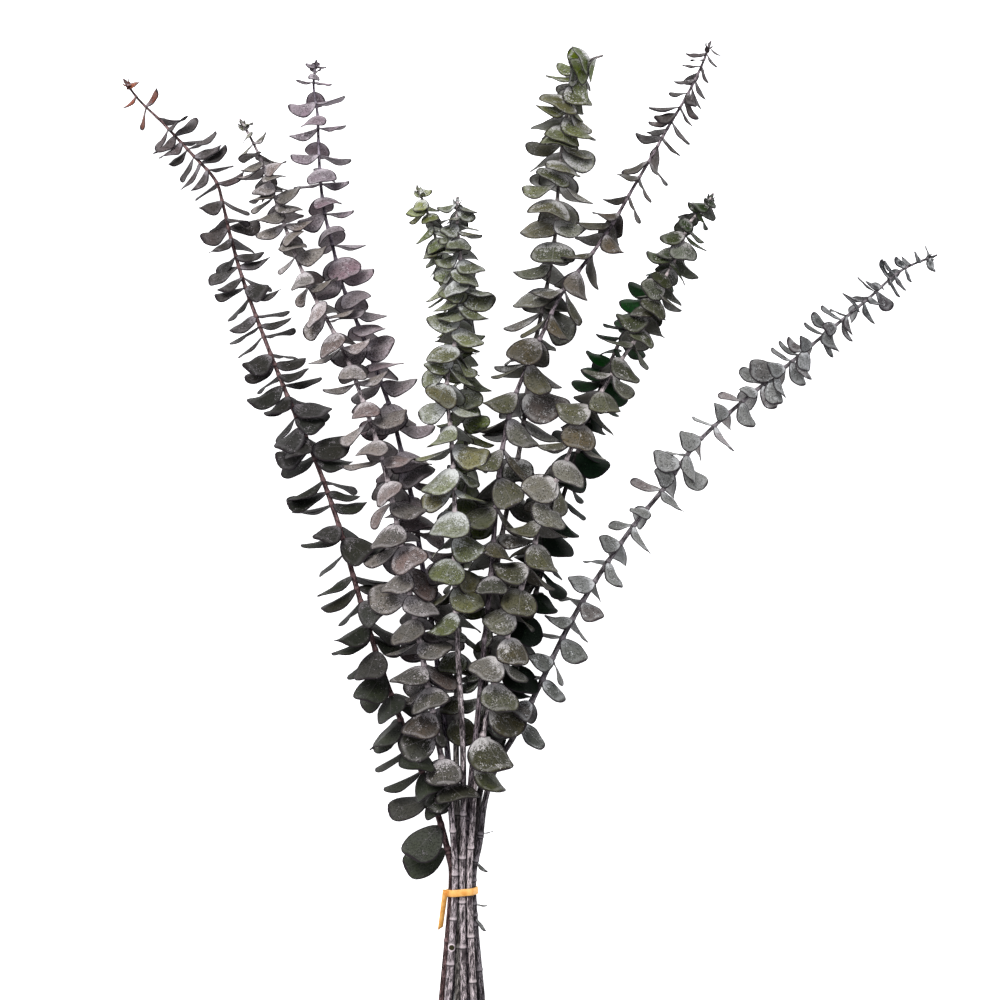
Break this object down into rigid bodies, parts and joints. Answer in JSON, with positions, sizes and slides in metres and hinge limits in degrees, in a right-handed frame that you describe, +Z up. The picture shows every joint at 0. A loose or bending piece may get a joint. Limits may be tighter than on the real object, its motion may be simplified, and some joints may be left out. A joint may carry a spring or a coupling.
{
  "type": "tied eucalyptus bunch",
  "caption": "Cut leafy eucalyptus stems with round paired leaves, held in one bunch by a flat band, lying on a surface and fanning out from the band.",
  "frame": {"origin": "on the surface the bunch lies on, under the middle of its box", "axes": "+Y along the stems from the cut ends to the tips, +X to the right as seen from above with the tips up, +Z up off the surface"},
  "size_m": [0.615, 0.7452, 0.0759],
  "materials": {
    "foliage_dark_green": "matte preserved leaf on a woody stem",
    "foliage_taupe": "matte preserved leaf with a grey bloom",
    "foliage_olive": "matte preserved leaf, speckled olive",
    "foliage_sage": "matte preserved leaf, sage with a grey bloom",
    "foliage_pale": "matte preserved leaf, pale grey-green",
    "band_rubber": "satin yellow-orange flat band"
  },
  "bodies": {
    "root": {"stem_far_left": "foliage_dark_green", "stem_left_front": "foliage_taupe", "stem_left_back": "foliage_taupe", "stem_middle_front": "foliage_olive", "stem_middle_back": "foliage_olive", "stem_hooked_back": "foliage_sage", "stem_right_arched": "foliage_sage", "stem_right_front": "foliage_olive", "stem_right_back": "foliage_dark_green", "stem_far_right": "foliage_pale", "tie_band": "band_rubber"}
  },
  "joints": []
}
